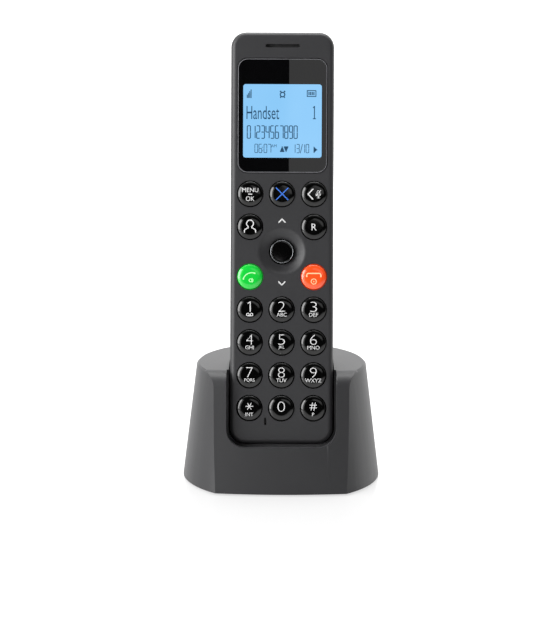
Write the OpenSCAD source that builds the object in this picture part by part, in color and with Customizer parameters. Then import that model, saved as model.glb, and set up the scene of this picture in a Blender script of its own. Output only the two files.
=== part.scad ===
// Cordless telephone: a slim handset standing in a desk base that charges it.
// The handset is modelled in its own frame: X across, Y up its length from
// the bottom end, Z out of the front face. on_handset() leans it back into
// the base, and on_base() puts a base piece in the row frame.

/* [Handset] */
// Width of the handset
handset_w = 44; // [43.5:0.1:44.5]
// Length from the bottom end to the top end
handset_l = 175.4; // [174.5:0.1:178]
// Thickness from the front face to the battery cover
handset_t = 22; // [22:0.1:23]
// Corner radius of the outline, seen from the front
handset_corner_r = 6.5; // [6:0.1:7]
// Wall thickness of the handset covers
shell_wall = 1.8; // [1.7:0.05:1.8]
// How far the handset leans back in the base, in degrees
lean = 11; // [10.5:0.1:11.5]

/* [Keys] */
// Diameter of a key cap
key_d = 10.6; // [10:0.1:10.8]
// Gap between a key cap and its hole
key_gap = 0.4; // [0.3:0.05:0.45]
// Spacing of the three key columns
key_pitch_x = 13.6; // [13.4:0.05:13.7]
// Spacing of the four digit rows
key_pitch_y = 14; // [13.9:0.05:14.1]
// How far a key cap stands above the front face
key_height = 0.95; // [0.7:0.05:1.1]
// Diameter of the dish round the navigation button
dish_d = 21; // [20:0.2:21.4]
// Diameter of the navigation button
nav_d = 9.9; // [9.4:0.1:10.1]

/* [Display] */
// Width of the display lens
lens_w = 38; // [37:0.1:39]
// Height of the display lens
lens_l = 48.4; // [47:0.1:49]
// Width of the lit part of the display
lcd_w = 33.4; // [31:0.1:34]
// Height of the lit part of the display
lcd_l = 31.2; // [29:0.1:32]

/* [Base] */
// Diameter of the base at the bottom
base_bottom_d = 86; // [84:0.5:88]
// Diameter of the base at the top
base_top_d = 73.5; // [72:0.5:75]
// Height of the base above its feet
base_h = 50.1; // [49:0.1:52]
// Wall thickness of the base cover
base_wall = 2.2; // [2:0.1:2.4]
// Distance from the base's axis to the middle of its front edge
front_depth = 34.5; // [33.5:0.1:35]
// Gap between the handset and the pocket it stands in
pocket_gap = 0.6; // [0.5:0.05:0.7]
// Height of the rubber feet below the base
foot_h = 0.8; // [0.6:0.1:1.2]

/* [Hidden] */
$fn = 64;
HULL_FN = 32;
EPS = 0.01;

// Base: the cone's axis is set back so that the whole base is centred on the origin.
base_bottom_r = base_bottom_d / 2;
base_top_r = base_top_d / 2;
axis_y = (front_depth - base_bottom_r) / 2;
bow_r = 220;              // radius of the gently bowed front face
top_round = 0.9;          // rounding of the top edge
front_round = 8;          // rounding between the top and the front face
plate_t = 2;              // thickness of the bottom plate
plate_gap = 0.2;
foot_r = 4.5;
foot_recess = 0.6;
foot_places = [[26, 17], [-26, 17], [21, -25], [-21, -25]];
post_places = [[29.5, -7], [-29.5, -7], [20, 26], [-20, 26]];
post_r = 3.4;
base_screw_r = 1.4;
base_screw_head_r = 2.8;
base_screw_l = 11;

// Handset: where its frame stands in the base, and how far below it the bottom end reaches.
stand_y = -25;
stand_z = 20.5;
low_end = -0.7;
handset_mid = low_end + handset_l / 2;
split_z = -9;             // parting plane of the two covers, measured from the front face
parting = 0.05;
front_edge_r = 2.2;
rear_edge_r = 4;

// The pocket in the base, in the handset's frame.
pocket_back = -handset_t - pocket_gap;
pocket_floor = low_end - 0.3;
pocket_wall = 2;
mouth_gap = 1.4;          // the pocket is wider in front of mouth_z, where it meets the front face
mouth_floor = -2.1;
mouth_z = -3;
mouth_wall = 1.6;
contact_x = 8;
contact_z = -14;

// Keys, in the handset's frame.
key_r = key_d / 2;
hole_r = key_r + key_gap;
flange_r = key_r + 0.8;
stem_r = 1.7;
crown = 0.1;              // how far the middle of a cap stands above its flat part's edge
shoulder_r = 1.1;
cap_skirt_z = -1.9;
flange_z = [-2.9, -2.1];
stem_end_z = -6.1;
dome_h = 0.4;
digit_row_y = 14.5;
call_row_y = 70.5;
contacts_row_y = 91.75;
menu_row_y = 105.75;
nav_y = 81.2;
dish_ball_r = 20;
dish_ball_z = sqrt(dish_ball_r * dish_ball_r - dish_d * dish_d / 4);
dish_wall = 1.4;
nav_hole_r = nav_d / 2 + 0.55;
nav_top_z = -0.35;
nav_ring_h = 0.55;
nav_ring_w = 0.4;
key_cols = [-key_pitch_x, 0, key_pitch_x];

// Display, in the handset's frame.
lens_y = 139.05;
lens_r = 4.2;
lens_gap = 0.35;
lens_t = 1.2;
lcd_y = 136.8;
board_z = [-8.2, -7.2];
mat_z = [-4.9, -3.7];
earpiece_y = 168.75;
mic_place = [-6.85, 8.9];

// Battery bay, in the handset's frame.
cell_r = 5.25;
cell_l = 44.5;
cell_x = 5.6;
cell_z = -15.05;
bay_x = 11.2;
bay_y = [82, 132];
bay_wall = 1;
cell_y = 86.4;
door_half_w = 17;
door_y = [78.2, 137];
door_t = 1.5;
door_gap = 0.2;
shelf_z = [-20.2, -19.4];
tab_x = 9;
tab_w = 5;
screw_places = [[14.4, 80.9], [-14.4, 80.9], [14.4, 114.6], [-14.4, 114.6]];
screw_r = 1.1;
screw_head_r = 1.9;
screw_hole_r = 1.15;
ringer_y = 152;
ringer_r = 9;
grille_ring_r = 5;

module on_base() {
    translate([0, axis_y, foot_h]) children();
}

module on_handset() {
    on_base() translate([0, stand_y, stand_z]) rotate([90 - lean, 0, 0]) children();
}

// Outline of a rectangle with round corners, w across and l up, centred.
module rounded_outline(w, l, r) {
    square([w - 2 * r, l], center = true);
    square([w, l - 2 * r], center = true);
    for (x = [-1, 1], y = [-1, 1])
        translate([x * (w / 2 - r), y * (l / 2 - r)]) circle(r = r);
}

// Flat block with round corners between two heights.
module slab(w, l, r, y, z) {
    translate([0, y, z[0]]) linear_extrude(height = z[1] - z[0]) rounded_outline(w, l, r);
}

// Block with round corners, rounded by low at its lower edge and by high at its upper edge.
module soft_block(w, l, r, z, low, high) {
    hull() for (x = [-1, 1], y = [-1, 1], a = [0, 22.5, 45, 67.5, 90])
        translate([x * (w / 2 - r), y * (l / 2 - r), z[0] + low * (1 - sin(a))])
            cylinder(r1 = r - low * (1 - cos(a)), r2 = r - high * (1 - cos(a)),
                h = z[1] - z[0] - (low + high) * (1 - sin(a)), $fn = HULL_FN);
}

module handset_block(inset, z, low, high) {
    translate([0, handset_mid, 0])
        soft_block(handset_w - 2 * inset, handset_l - 2 * inset,
            handset_corner_r - inset, z, low, high);
}

// A box between two corners.
module box(low, high) {
    translate(low) cube(high - low);
}

// Round wire coil from radius r0 to r1 over height h, swept along its helix.
module coil(r0, r1, h, wire_r, turns) {
    sides = 6;
    steps = 12 * turns;
    points = [for (i = [0:steps], j = [0:sides - 1])
        let (t = i / steps, a = 360 * turns * t, b = 360 * j / sides,
            r = r0 + (r1 - r0) * t + wire_r * cos(b))
        [r * cos(a), r * sin(a), wire_r + (h - 2 * wire_r) * t + wire_r * sin(b)]];
    walls = [for (i = [0:steps - 1], j = [0:sides - 1])
        let (k = (j + 1) % sides)
        [i * sides + j, (i + 1) * sides + j, (i + 1) * sides + k, i * sides + k]];
    ends = [[for (j = [0:sides - 1]) j],
        [for (j = [0:sides - 1]) steps * sides + sides - 1 - j]];
    polyhedron(points = points, faces = concat(walls, ends), convexity = 4);
}

// ---- Base ----

// The front face's distance at height z from the upright axis that its rounding is turned about.
function front_at(z) = bow_r - (z - base_h) * tan(lean);

// What is cut away to round the edge between the top and the bowed front face.
module front_edge_round(inset) {
    centre_z = base_h - front_round;
    centre_r = front_at(centre_z) - front_round / cos(lean);
    low_z = centre_z + (front_round - inset) * sin(lean);
    far_r = front_at(0);
    translate([0, bow_r - front_depth + base_h * tan(lean), 0]) rotate_extrude() difference() {
        polygon([[centre_r, centre_z], [centre_r, base_h + 1], [far_r, base_h + 1],
            [far_r, low_z], [centre_r + (front_round - inset) * cos(lean), low_z]]);
        translate([centre_r, centre_z]) circle(r = front_round - inset);
    }
}

// Solid of the base, inset all round, between two heights.
module base_solid(inset, z) {
    slope = (base_bottom_r - base_top_r) / base_h;
    edge = max(top_round - inset, 0.1);
    difference() {
        intersection() {
            rotate_extrude() polygon([
                [0, z[0]], [base_bottom_r - inset - slope * z[0], z[0]],
                [base_bottom_r - inset - slope * (z[1] - edge), z[1] - edge],
                [base_bottom_r - inset - slope * z[1] - edge, z[1]], [0, z[1]]]);
            translate([0, -front_depth, 0]) rotate([-lean, 0, 0])
                translate([0, bow_r + inset, -20]) cylinder(r = bow_r, h = base_h + 60);
        }
        front_edge_round(inset);
    }
}

module pocket(gap, floor_y, back, z_top) {
    r = handset_corner_r + gap;
    half = handset_w / 2 + gap;
    translate([0, 0, back]) linear_extrude(height = z_top - back) {
        translate([-half, floor_y + r]) square([2 * half, 80]);
        translate([r - half, floor_y]) square([2 * (half - r), r + 1]);
        for (x = [-1, 1]) translate([x * (half - r), floor_y + r]) circle(r = r);
    }
}

// The whole space the handset stands in, with the openings for the charging contacts.
module pocket_space() {
    pocket(pocket_gap, pocket_floor, pocket_back, 0);
    pocket(mouth_gap, mouth_floor, mouth_z, 12);
    for (x = [-contact_x, contact_x])
        box([x - 2.2, pocket_floor - 4, contact_z - 3.6], [x + 2.2, pocket_floor + 1, contact_z + 3.6]);
}

module in_pocket_frame() {
    translate([0, stand_y, stand_z]) rotate([90 - lean, 0, 0]) children();
}

// The rear connector recess, whose floor is a flat vertical panel.
panel_y = 34;
panel_half_w = 20;
panel_z = [4, 21];
dc_place = [-10.5, 12.5];
dc_hole_r = 3.6;
line_place = [8, 12.5];
line_hole = [10.4, 7.6];
page_z = 33;
page_r = 4;

module base_cover() color("#45464a") on_base() {
    difference() {
        union() {
            difference() {
                base_solid(0, [0, base_h]);
                difference() {
                    base_solid(base_wall, [-1, base_h - base_wall]);
                    box([-panel_half_w - 2, panel_y - 2, panel_z[0] - 2],
                        [panel_half_w + 2, base_bottom_r, panel_z[1] + 2]);
                }
            }
            for (p = post_places) translate([p[0], p[1], plate_t + plate_gap])
                cylinder(r = post_r, h = base_h - base_wall - plate_t);
        }
        in_pocket_frame() pocket_space();
        box([-panel_half_w, panel_y, panel_z[0]], [panel_half_w, base_bottom_r + 2, panel_z[1]]);
        box([-panel_half_w - 3, 0, -1], [panel_half_w + 3, panel_y, panel_z[0] - 2]);
        translate([dc_place[0], panel_y - 5, dc_place[1]]) rotate([-90, 0, 0])
            cylinder(r = dc_hole_r, h = 10);
        box([line_place[0] - line_hole[0] / 2, panel_y - 5, line_place[1] - line_hole[1] / 2],
            [line_place[0] + line_hole[0] / 2, panel_y + 5, line_place[1] + line_hole[1] / 2]);
        translate([0, panel_y - 6, page_z]) rotate([-90, 0, 0])
            cylinder(r = page_r + 0.3, h = 20);
        for (p = post_places) translate([p[0], p[1], 0])
            cylinder(r = base_screw_r + 0.05, h = base_screw_l + 2);
    }
}

// The walls and floor of the pocket, inside the cover.
module cradle() color("#3a3b3f") on_base() difference() {
    intersection() {
        base_solid(base_wall + 0.05, [plate_t + 1, base_h - base_wall - 0.05]);
        in_pocket_frame() {
            pocket(pocket_gap + pocket_wall, pocket_floor - pocket_wall, pocket_back - pocket_wall, 30);
            pocket(mouth_gap + mouth_wall, mouth_floor - mouth_wall, mouth_z - 0.8, 30);
        }
    }
    in_pocket_frame() pocket_space();
}

module base_bottom() color("#2b2c2f") on_base() difference() {
    union() {
        base_solid(base_wall + plate_gap, [0, plate_t]);
        translate([0, 0, plate_t - EPS]) intersection() {
            base_solid(base_wall + plate_gap + 2, [0, 3]);
            box([-24, -24, 0], [24, -22.5, 2]);
        }
    }
    for (p = foot_places) translate([p[0], p[1], -1]) cylinder(r = foot_r + 0.1, h = 1 + foot_recess);
    for (p = post_places) translate([p[0], p[1], -1]) {
        cylinder(r = base_screw_r + 0.2, h = 5);
        cylinder(r = base_screw_head_r + 0.2, h = 2);
    }
    for (x = [-12:4:12]) box([x - 0.8, 24, -1], [x + 0.8, 32, 5]);
}

module rubber_feet() color("#1a1a1b") on_base() for (p = foot_places)
    translate([p[0], p[1], -foot_h]) cylinder(r = foot_r, h = foot_h + foot_recess);

module base_screws() color("#b9bbbd") on_base() for (p = post_places)
    translate([p[0], p[1], 0.1]) difference() {
        union() {
            cylinder(r = base_screw_head_r, h = 0.9);
            cylinder(r = base_screw_r, h = base_screw_l);
        }
        for (a = [0, 90]) rotate([0, 0, a]) translate([-1.6, -0.3, -1]) cube([3.2, 0.6, 1.5]);
    }

board_low = 6.4;
board_top = board_low + 1.6;

module base_board() color("#1f6b3a") on_base() difference() {
    box([-17, 4, board_low], [17, panel_y - 2.3, board_top]);
    for (p = post_places) translate([p[0], p[1], 0]) cylinder(r = post_r + 0.4, h = 20);
}

module base_board_parts() color("#2a2a2a") on_base() {
    box([-10, 6, board_top], [0, 16, board_top + 1.2]);
    box([4, 6, board_top], [12, 12, board_top + 2]);
    for (x = [-14, 14]) translate([x, 9, board_top]) cylinder(r = 2.3, h = 4);
    translate([-14.4, 16.5, board_top]) cylinder(r = 1.9, h = 4);
    box([-3, 17.5, board_top], [0.5, 21, board_top + 1.5]);
}

module ballast_plate() color("#8a8d90") on_base() difference() {
    box([-22, -22, plate_t], [22, 2.5, plate_t + 4]);
    for (p = post_places) translate([p[0], p[1], 0]) cylinder(r = post_r + 0.4, h = 20);
    for (x = [-1, 1]) translate([x * 24, -24, 0]) cylinder(r = 4, h = 20);
    box([-25, -25, 0], [25, -22, 10]);
}

module dc_jack() color("#17171a") on_base() translate([dc_place[0], panel_y - 2.1, dc_place[1]]) {
    difference() {
        box([-4.5, -10.5, board_top - dc_place[1]], [4.5, 0, 5]);
        rotate([90, 0, 0]) translate([0, 0, -1]) cylinder(r = 2.75, h = 9.5);
    }
    rotate([90, 0, 0]) translate([0, 0, 0.8]) cylinder(r = 0.65, h = 8);
}

module line_jack() color("#202126") on_base() translate([line_place[0], panel_y - 2.1, line_place[1]])
    difference() {
        box([-6.6, -12.5, board_top - line_place[1]], [6.6, 0, 6.2]);
        box([-4.9, -11, -3.4], [4.9, 1, 3.4]);
        box([-1.6, -11, 3], [1.6, 1, 4.6]);
    }

module contact_block() color("#303136") on_handset() difference() {
    box([-13, pocket_floor - 8.9, -21], [13, pocket_floor - 2.2, -4]);
    for (x = [-contact_x, contact_x])
        box([x - 2.2, pocket_floor - 7.9, -19.8], [x + 2.2, pocket_floor - 1.7, -6.8]);
}

// Bent spring strip: clamped at its front end, with a crest that meets the handset's contact.
module charge_contact(x) {
    t = 0.35;
    crest = pocket_floor + 0.2;
    line = [[-6.8, crest - 4.5], [-10.6, crest - 3.3], [-12.6, crest - 0.5], [-14, crest],
        [-15.4, crest - 0.5], [-17.2, crest - 3.5], [-18.6, crest - 3.8]];
    under = [for (i = [len(line) - 1:-1:0]) line[i] - [0, t]];
    translate([x - 1.5, 0, 0]) rotate([0, -90, 0]) mirror([0, 0, 1])
        linear_extrude(height = 3) polygon(concat(line, under));
}

module charge_contact_left() color("#d9c27a") on_handset() charge_contact(-contact_x);

module charge_contact_right() color("#d9c27a") on_handset() charge_contact(contact_x);

page_face_y = base_bottom_r - (base_bottom_r - base_top_r) * page_z / base_h + 0.7;

module page_button() color("#3a3b3f") on_base()
    translate([0, 0, page_z]) rotate([-90, 0, 0]) {
        translate([0, 0, page_face_y - 6]) cylinder(r = page_r, h = 6);
        translate([0, 0, page_face_y - 6]) cylinder(r = page_r + 1.1, h = 1.8);
        translate([0, 0, page_face_y - 9]) cylinder(r = 1.2, h = 4);
    }

module page_switch() color("#c9cacc") on_base() translate([0, page_face_y - 9.9, page_z]) {
    box([-3, -3.4, -3], [3, 0, 3]);
    box([-8, -5, -8], [8, -3.4, 8]);
    box([-5.4, -5, board_top - page_z], [0.9, -3.4, -7]);
}

// ---- Handset shells ----

module key_holes() {
    for (x = key_cols, row = [0:3])
        translate([x, digit_row_y + row * key_pitch_y, -3]) cylinder(r = hole_r, h = 4);
    for (x = [-key_pitch_x, key_pitch_x], y = [call_row_y, contacts_row_y])
        translate([x, y, -3]) cylinder(r = hole_r, h = 4);
    for (x = key_cols) translate([x, menu_row_y, -3]) cylinder(r = hole_r, h = 4);
}

module front_cover() color("#48494d") on_handset() difference() {
    union() {
        difference() {
            handset_block(0, [split_z, 0], 0, front_edge_r);
            slab(handset_w - 2 * shell_wall, handset_l - 2 * shell_wall,
                handset_corner_r - shell_wall, handset_mid, [split_z - 1, -shell_wall]);
        }
        // Underside of the dish.
        intersection() {
            translate([0, nav_y, dish_ball_z]) sphere(r = dish_ball_r + dish_wall);
            translate([0, nav_y, -5]) cylinder(r = dish_d / 2, h = 5 - shell_wall + EPS);
        }
        for (p = screw_places) translate([p[0], p[1], split_z])
            cylinder(r = 2.2, h = -split_z - shell_wall + EPS);
    }
    translate([0, nav_y, dish_ball_z]) sphere(r = dish_ball_r);
    translate([0, nav_y, -8]) cylinder(r = nav_hole_r, h = 10);
    key_holes();
    slab(lens_w + 2 * lens_gap, lens_l + 2 * lens_gap, lens_r + lens_gap, lens_y, [-lens_t - 0.05, 1]);
    slab(lcd_w + 1.8, lcd_l + 2, 1, lcd_y, [-3, 1]);
    slab(14.6, 1.4, 0.69, earpiece_y, [-3, 1]);
    translate([mic_place[0], 0, 0]) slab(0.9, 3.2, 0.44, mic_place[1], [-3, 1]);
    for (p = screw_places) translate([p[0], p[1], split_z - 1]) cylinder(r = screw_hole_r, h = 6.5);
}

module rear_cover() color("#48494d") on_handset() {
    mid_y = (door_y[0] + door_y[1]) / 2;
    door_l = door_y[1] - door_y[0];
    bay_mid = (bay_y[0] + bay_y[1]) / 2;
    bay_l = bay_y[1] - bay_y[0];
    difference() {
        union() {
            difference() {
                handset_block(0, [-handset_t, split_z - parting], rear_edge_r, 0);
                handset_block(shell_wall, [-handset_t + shell_wall, split_z + 1],
                    rear_edge_r - shell_wall, 0);
            }
            // Shelf under the battery cover, and the walls and floor of the bay.
            box([-door_half_w - 1.2, door_y[0] - 1.2, shelf_z[0]],
                [door_half_w + 1.2, door_y[1] + 1.2, shelf_z[1]]);
            box([-bay_x - bay_wall, bay_y[0] - bay_wall, shelf_z[0]],
                [bay_x + bay_wall, bay_y[1] + bay_wall, split_z - parting]);
            for (p = screw_places) translate([p[0], p[1], shelf_z[0]])
                cylinder(r = 2.6, h = split_z - parting - shelf_z[0]);
        }
        box([-bay_x, bay_y[0], -handset_t - 1], [bay_x, bay_y[1], split_z - parting - 0.7]);
        box([-door_half_w - door_gap, door_y[0] - door_gap, -handset_t - 1],
            [door_half_w + door_gap, door_y[1] + door_gap, shelf_z[0]]);
        for (p = screw_places) translate([p[0], p[1], -handset_t]) {
            cylinder(r = screw_hole_r, h = handset_t);
            cylinder(r = screw_head_r + 0.15, h = 3.5);
        }
        // Room for the battery cover's two tabs to turn inwards.
        for (x = [-tab_x, tab_x]) intersection() {
            translate([x - tab_w / 2 - 0.2, door_y[0], -handset_t]) rotate([0, 90, 0])
                cylinder(r = 2.4, h = tab_w + 0.4);
            box([-30, door_y[0] - 4, -handset_t + 0.9], [30, door_y[0] + 4, -18]);
        }
        for (a = [0:60:300]) rotate_about(ringer_y, a) grille_hole(grille_ring_r);
        for (a = [30:60:330]) rotate_about(ringer_y, a) grille_hole(grille_ring_r / 1.7);
        rotate_about(ringer_y, 0) grille_hole(0);
        for (x = [-contact_x, contact_x])
            box([x - 2.6, low_end - 1, contact_z - 3.1], [x + 2.6, low_end + 0.9, contact_z + 3.1]);
    }
}

module rotate_about(y, a) {
    translate([0, y, 0]) rotate([0, 0, a]) children();
}

module grille_hole(r) {
    translate([r, 0, -handset_t - 1]) cylinder(r = 0.8, h = 4);
}

module battery_door() color("#48494d") on_handset() {
    box([-door_half_w, door_y[0], -handset_t], [door_half_w, door_y[1], -handset_t + door_t]);
    for (x = [-tab_x, tab_x])
        box([x - tab_w / 2, door_y[0] - 1.3, -handset_t + 1.1],
            [x + tab_w / 2, door_y[0] + EPS, -handset_t + door_t]);
    for (y = [door_y[1] - 9:2:door_y[1] - 5])
        box([-6, y - 0.4, -handset_t - 0.35], [6, y + 0.4, -handset_t + EPS]);
}

// ---- Handset front: display, earpiece, keys ----

module display_lens() color("#0a0a0c") on_handset()
    slab(lens_w, lens_l, lens_r, lens_y, [-lens_t, 0]);

module display_panel() color("#8ecbf7") on_handset()
    slab(lcd_w + 1.6, lcd_l + 3, 0.5, lcd_y, [-3, -1.9]);

module backlight_plate() color("#e8f3fb") on_handset()
    slab(lcd_w + 1.6, lcd_l + 3, 0.5, lcd_y, [-5, -3.05]);

module display_frame() color("#26272a") on_handset() difference() {
    slab(lcd_w + 3.6, lcd_l + 5, 1, lcd_y, [-6.8, -1.95]);
    slab(lcd_w + 1.8, lcd_l + 3.2, 0.6, lcd_y, [-5.05, 1]);
}

module earpiece_mesh() color("#101012") on_handset()
    slab(17, 3.2, 0.8, earpiece_y, [-2.15, -shell_wall - 0.02]);

module earpiece_speaker() color("#3c3d40") on_handset() difference() {
    slab(16, 6.6, 1, earpiece_y, [-5.2, -2.2]);
    slab(11, 1.4, 0.5, earpiece_y, [-2.7, -1]);
}

module microphone() color("#8d9094") on_handset()
    translate([mic_place[0], mic_place[1], -3.4]) cylinder(r = 2, h = 1.5);

module main_board() color("#1f6b3a") on_handset() difference() {
    slab(38.6, 163, 2, 87.5, board_z);
    for (p = screw_places) translate([p[0], p[1], -10]) cylinder(r = 2.5, h = 5);
}

module shield_can() color("#b4b7ba") on_handset() difference() {
    box([-13, 22, -11.4], [13, 58, board_z[0]]);
    box([-12.7, 22.3, -11.1], [12.7, 57.7, board_z[0] + 1]);
}

module dome(x, y) {
    translate([x, y, board_z[1]]) cylinder(r1 = 3, r2 = 1.6, h = dome_h);
}

module dome_contacts() color("#d4d6d8") on_handset() {
    for (x = key_cols, row = [0:3]) dome(x, digit_row_y + row * key_pitch_y);
    for (x = [-key_pitch_x, key_pitch_x], y = [call_row_y, contacts_row_y]) dome(x, y);
    for (x = key_cols) dome(x, menu_row_y);
    for (y = [-4, 4]) dome(0, nav_y + y);
}

module keypad_mat() color("#5a5c60") on_handset() difference() {
    slab(39.2, 105, 3, 60.2, mat_z);
    for (x = key_cols, row = [0:3])
        translate([x, digit_row_y + row * key_pitch_y, -6]) cylinder(r = stem_r + 0.6, h = 3);
    for (x = [-key_pitch_x, key_pitch_x], y = [call_row_y, contacts_row_y])
        translate([x, y, -6]) cylinder(r = stem_r + 0.6, h = 3);
    for (x = key_cols) translate([x, menu_row_y, -6]) cylinder(r = stem_r + 0.6, h = 3);
    translate([0, nav_y, -6]) cylinder(r = 7.4, h = 3);
    for (p = screw_places) translate([p[0], p[1], -6]) cylinder(r = 2.6, h = 3);
}

// A round cap with a round shoulder and a slightly crowned top, the flange that keeps it in, and its stem.
module key_cap(x, y, tint) color(tint) on_handset() translate([x, y, 0]) {
    flat_r = key_r - shoulder_r;
    rim_z = key_height - crown - shoulder_r;
    ball_r = (flat_r * flat_r + crown * crown) / (2 * crown);
    intersection() {
        union() {
            cylinder_to(key_r, cap_skirt_z, rim_z);
            rotate_extrude() translate([flat_r, rim_z]) circle(r = shoulder_r);
            cylinder_to(flat_r, cap_skirt_z, key_height);
        }
        translate([0, 0, key_height - ball_r]) sphere(r = ball_r);
    }
    translate([0, 0, flange_z[0]]) cylinder(r = flange_r, h = flange_z[1] - flange_z[0]);
    translate([0, 0, flange_z[1] - EPS]) cylinder(r = key_r - 0.1, h = 0.3);
    translate([0, 0, stem_end_z]) cylinder(r = stem_r, h = flange_z[0] - stem_end_z + EPS);
}

module digit_key(col, row) key_cap(key_cols[col], digit_row_y + row * key_pitch_y, "#0c0c0e");

module nav_button() color("#0b0b0d") on_handset() translate([0, nav_y, 0]) {
    cylinder_to(nav_d / 2 - nav_ring_w - 0.02, -2, nav_top_z - 0.05);
    cylinder_to(nav_d / 2, -4.2, nav_top_z - nav_ring_h - 0.02);
    cylinder_to(6.2, -4.9, -4.15);
    for (y = [-4, 4]) translate([0, y, -6.1]) cylinder(r = 1, h = 1.25);
}

module cylinder_to(r, low, high) {
    translate([0, 0, low]) cylinder(r = r, h = high - low);
}

module nav_ring() color("#8b8d91") on_handset() translate([0, nav_y, nav_top_z - nav_ring_h])
    difference() {
        cylinder(r = nav_d / 2, h = nav_ring_h);
        translate([0, 0, -1]) cylinder(r = nav_d / 2 - nav_ring_w, h = 3);
    }

// ---- Handset back: batteries, contacts, fasteners ----

module cell(x) {
    translate([x, cell_y, cell_z]) rotate([-90, 0, 0]) {
        cylinder(r = cell_r, h = cell_l - 0.8);
        cylinder(r = 1.9, h = cell_l);
    }
}

module battery_left() color("#3f7f4f") on_handset() cell(-cell_x);

module battery_right() color("#3f7f4f") on_handset() cell(cell_x);

module battery_springs() color("#c9cbcd") on_handset() for (x = [-cell_x, cell_x])
    translate([x, bay_y[0] + 0.1, cell_z]) rotate([-90, 0, 0])
        coil(3.4, 2, cell_y - bay_y[0] - 0.2, 0.35, 4);

module battery_plates() color("#c9cbcd") on_handset() for (x = [-cell_x, cell_x])
    box([x - 4, cell_y + cell_l + 0.1, cell_z - 4], [x + 4, bay_y[1], cell_z + 4]);

module handset_contacts() color("#d9c27a") on_handset() for (x = [-contact_x, contact_x])
    box([x - 2.5, low_end + 0.1, contact_z - 3], [x + 2.5, low_end + 0.85, contact_z + 3]);

module rear_screws() color("#b9bbbd") on_handset() for (p = screw_places)
    translate([p[0], p[1], -19.9]) difference() {
        union() {
            cylinder(r = screw_head_r, h = 1.3);
            cylinder(r = screw_r, h = 15.5);
        }
        for (a = [0, 90]) rotate([0, 0, a]) translate([-1.2, -0.25, -1]) cube([2.4, 0.5, 1.7]);
    }

module ringer_speaker() color("#3c3d40") on_handset() translate([0, ringer_y, 0]) difference() {
    cylinder_to(ringer_r, -20.1, -16.2);
    cylinder_to(ringer_r - 1.5, -21, -19.4);
}

base_cover();
cradle();
base_bottom();
rubber_feet();
base_screws();
base_board();
base_board_parts();
ballast_plate();
dc_jack();
line_jack();
contact_block();
charge_contact_left();
charge_contact_right();
page_button();
page_switch();
front_cover();
rear_cover();
display_lens();
display_panel();
backlight_plate();
display_frame();
earpiece_mesh();
earpiece_speaker();
microphone();
main_board();
shield_can();
dome_contacts();
keypad_mat();
digit_key(0, 3);  // key_1
digit_key(1, 3);  // key_2
digit_key(2, 3);  // key_3
digit_key(0, 2);  // key_4
digit_key(1, 2);  // key_5
digit_key(2, 2);  // key_6
digit_key(0, 1);  // key_7
digit_key(1, 1);  // key_8
digit_key(2, 1);  // key_9
digit_key(0, 0);  // key_star
digit_key(1, 0);  // key_0
digit_key(2, 0);  // key_hash
key_cap(key_cols[0], menu_row_y, "#0c0c0e");  // key_menu
key_cap(key_cols[1], menu_row_y, "#0c0c0e");  // key_cross
key_cap(key_cols[2], menu_row_y, "#0c0c0e");  // key_back
key_cap(key_cols[0], contacts_row_y, "#0c0c0e");  // key_contacts
key_cap(key_cols[2], contacts_row_y, "#0c0c0e");  // key_recall
key_cap(key_cols[0], call_row_y, "#17c23c");  // key_talk
key_cap(key_cols[2], call_row_y, "#fb4b1f");  // key_end
nav_button();
nav_ring();
battery_door();
battery_left();
battery_right();
battery_springs();
battery_plates();
handset_contacts();
rear_screws();
ringer_speaker();
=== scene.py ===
"""The looks of a cordless telephone standing in its charging base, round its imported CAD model.

Lengths in the classes are in millimetres. Handset pieces are built in the handset's own space,
X across, Y up its length from the bottom end and Z out of its front face, and are then set into
the row frame. Base pieces are built round the base's axis, from its lower edge up.
"""
import logging
import math
from collections.abc import Callable, Iterator, Sequence
from contextlib import contextmanager
from dataclasses import dataclass
from enum import Enum

import bmesh
import bpy
from mathutils import Matrix, Vector


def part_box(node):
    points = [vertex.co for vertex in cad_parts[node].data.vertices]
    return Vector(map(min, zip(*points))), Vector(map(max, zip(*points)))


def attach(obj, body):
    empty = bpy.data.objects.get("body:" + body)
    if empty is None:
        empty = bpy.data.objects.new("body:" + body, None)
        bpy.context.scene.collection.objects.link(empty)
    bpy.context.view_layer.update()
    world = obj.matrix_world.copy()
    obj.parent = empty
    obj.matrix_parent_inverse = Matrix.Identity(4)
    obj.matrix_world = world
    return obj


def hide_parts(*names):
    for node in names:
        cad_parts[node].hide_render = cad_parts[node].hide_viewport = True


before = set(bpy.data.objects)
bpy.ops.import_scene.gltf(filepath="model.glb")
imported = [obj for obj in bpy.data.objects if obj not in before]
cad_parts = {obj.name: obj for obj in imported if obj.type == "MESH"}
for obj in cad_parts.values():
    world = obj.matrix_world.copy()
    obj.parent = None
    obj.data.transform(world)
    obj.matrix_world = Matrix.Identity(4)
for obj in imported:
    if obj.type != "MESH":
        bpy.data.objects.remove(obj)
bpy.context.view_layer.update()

log = logging.getLogger("phone")
MM = 0.001
Point = tuple[float, float]
Shape = bpy.types.Object


def linear_colour(hex_code: str) -> tuple[float, float, float, float]:
    """Turn an sRGB hex colour into the linear values that shaders take.

    Args:
        hex_code: Colour such as "#3f3f41".

    Returns:
        Linear red, green and blue, and an alpha of 1.
    """
    parts = [int(hex_code[i:i + 2], 16) / 255 for i in (1, 3, 5)]
    red, green, blue = (p / 12.92 if p <= 0.04045 else ((p + 0.055) / 1.055) ** 2.4 for p in parts)
    return (red, green, blue, 1.0)


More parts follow.
